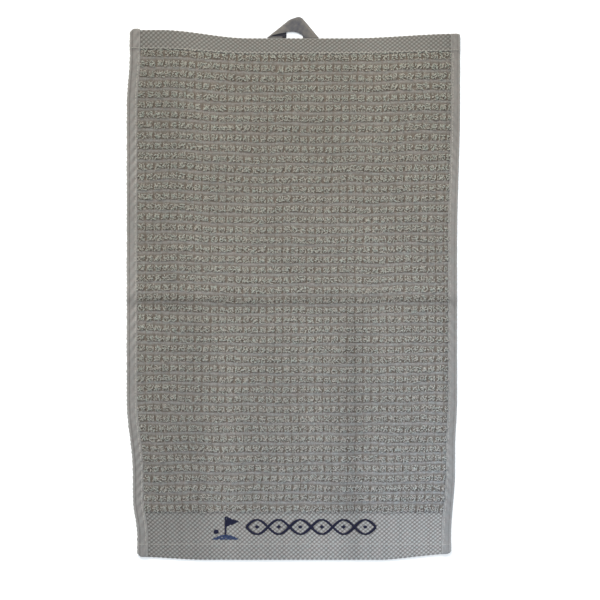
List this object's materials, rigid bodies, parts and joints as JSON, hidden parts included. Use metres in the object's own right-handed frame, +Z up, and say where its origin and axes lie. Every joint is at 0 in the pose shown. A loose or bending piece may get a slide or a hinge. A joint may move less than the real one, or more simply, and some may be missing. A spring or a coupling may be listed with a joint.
{
  "type": "golf towel",
  "caption": "Waffle terry golf towel with woven diamond borders, folded hems, an embroidered bottom border and a tape loop at the top edge to hang it by.",
  "frame": {"origin": "on the underside, under the middle of the outline's bounding box, with the towel lying flat and face up", "axes": "+Z up out of the face, +Y along the length towards the hanging loop, +X across the width to the right as the face is seen"},
  "size_m": [0.3028, 0.4936, 0.004],
  "materials": {
    "waffle_terry": "looped cotton pile in a waffle of small cells, matt",
    "dobby_border": "flat cotton diamond weave, matt with a faint sheen",
    "plain_hem": "flat cotton plain weave with fine ribs along the edge",
    "sewing_thread": "spun polyester sewing thread",
    "loop_tape": "narrow woven cotton twill tape",
    "navy_thread": "rayon satin stitch, soft sheen",
    "blue_thread": "rayon satin stitch, soft sheen",
    "backing_fleece": "non-woven cut-away embroidery backing"
  },
  "bodies": {
    "upper_half": {"upper_waffle_field": "waffle_terry", "top_border": "dobby_border", "top_hem": "dobby_border", "left_hem_upper": "plain_hem", "right_hem_upper": "plain_hem", "left_seam_upper": "sewing_thread", "right_seam_upper": "sewing_thread", "top_seam": "sewing_thread", "loop_ends": "loop_tape"},
    "lower_half": {"lower_waffle_field": "waffle_terry", "bottom_border": "dobby_border", "bottom_hem": "dobby_border", "left_hem_lower": "plain_hem", "right_hem_lower": "plain_hem", "left_seam_lower": "sewing_thread", "right_seam_lower": "sewing_thread", "bottom_seam": "sewing_thread", "emblem_flag": "navy_thread", "emblem_green": "blue_thread", "embroidered_band": "navy_thread", "embroidery_backing": "backing_fleece"},
    "loop": {"hanging_loop": "loop_tape"}
  },
  "joints": [
    {"name": "half_fold", "type": "hinge", "parent": "upper_half", "child": "lower_half", "pos_m": [0, -0.0105, 0.0046], "axis": [-1, 0, 0], "range_deg": [0, 180]},
    {"name": "loop_swing", "type": "hinge", "parent": "upper_half", "child": "loop", "pos_m": [0, 0.2281, 0.0016], "axis": [1, 0, 0], "range_deg": [0, 170]}
  ]
}
